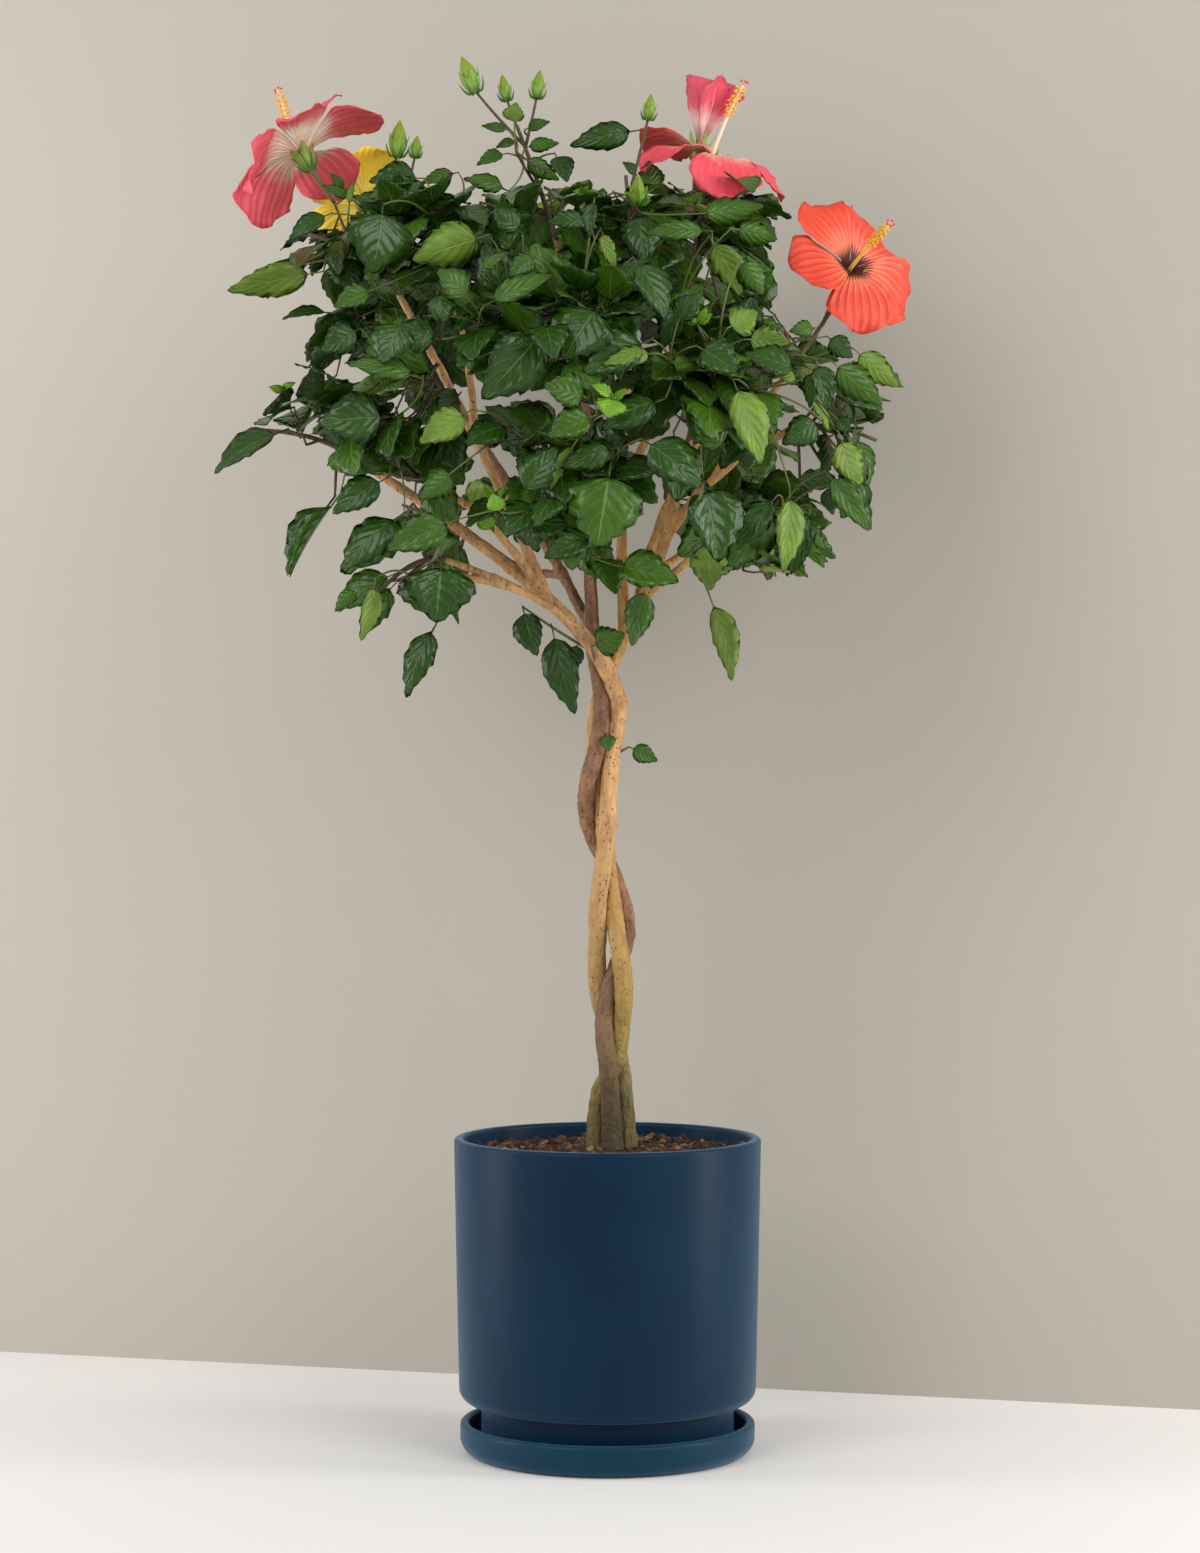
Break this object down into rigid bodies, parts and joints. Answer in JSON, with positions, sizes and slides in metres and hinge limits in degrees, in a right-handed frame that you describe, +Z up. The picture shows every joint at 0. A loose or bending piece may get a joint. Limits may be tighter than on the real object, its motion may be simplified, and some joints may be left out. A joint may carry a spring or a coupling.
{
  "type": "potted hibiscus shrub",
  "caption": "Hibiscus shrub grown as a small standard: braided stems, a round leafy crown with open blooms, in a round glazed pot on a saucer.",
  "frame": {"origin": "centre of the saucer's flat underside", "axes": "+Z up along the trunk, +X to the viewer's right in the picture, +Y away from the viewer"},
  "size_m": [0.6318, 0.5386, 1.2288],
  "materials": {
    "blue_glaze": "satin deep-blue glaze on stoneware",
    "potting_soil": "moist dark potting mix with bark chips",
    "tan_bark": "smooth tan bark with fine dark pores",
    "olive_bark": "smooth bark with a green-olive bloom low down",
    "brown_bark": "reddish-brown bark",
    "leaf_green": "glossy dark-green leaf, paler and matt beneath",
    "young_leaf": "bright young leaf",
    "coral_petal": "soft coral-pink petal with fine veins",
    "orange_petal": "orange petal with a deep red eye and pale veins",
    "yellow_petal": "plain yellow petal",
    "faded_petal": "pink petal that is closing again"
  },
  "bodies": {
    "root": {"saucer": "blue_glaze", "pot": "blue_glaze", "soil": "potting_soil", "stem_tan": "tan_bark", "stem_olive": "olive_bark", "stem_brown": "brown_bark", "bough_left": "tan_bark", "bough_upper_left": "brown_bark", "bough_left_front": "tan_bark", "bough_left_high": "brown_bark", "bough_left_low": "brown_bark", "broken_stub": "tan_bark", "bough_centre": "brown_bark", "bough_top": "brown_bark", "bough_front_low": "tan_bark", "bough_front_high": "tan_bark", "bough_right": "tan_bark", "bough_inner": "tan_bark", "bough_top_right": "brown_bark", "bough_long_right": "tan_bark", "bough_right_crest": "brown_bark", "bough_right_low": "tan_bark", "bough_back_left": "tan_bark", "bough_back": "brown_bark", "bough_back_right": "tan_bark", "bough_back_low": "brown_bark", "bough_back_low_left": "tan_bark", "bough_back_low_right": "tan_bark", "leaves_left_tip": "leaf_green", "leaves_left_crest": "leaf_green", "leaves_left_front": "leaf_green", "leaves_left_low": "leaf_green", "leaves_upper_left": "leaf_green", "leaves_top": "leaf_green", "leaves_front_high": "leaf_green", "leaves_front_low": "leaf_green", "leaves_top_middle": "leaf_green", "leaves_front_right": "leaf_green", "leaves_top_right": "leaf_green", "leaves_right_crest": "leaf_green", "leaves_right_tip": "leaf_green", "leaves_right_low": "leaf_green", "leaves_back_left": "leaf_green", "leaves_back": "leaf_green", "leaves_back_right": "leaf_green", "leaves_back_low": "leaf_green", "leaves_back_low_right": "leaf_green", "leaves_back_low_left": "leaf_green", "shoot_fork_left": "young_leaf", "leaf_fork": "young_leaf", "leaf_trunk_front": "young_leaf", "leaf_trunk_right": "young_leaf", "bloom_left": "coral_petal", "bloom_yellow": "yellow_petal", "bloom_top_right": "coral_petal", "bloom_faded": "faded_petal", "bloom_orange": "orange_petal"}
  },
  "joints": []
}
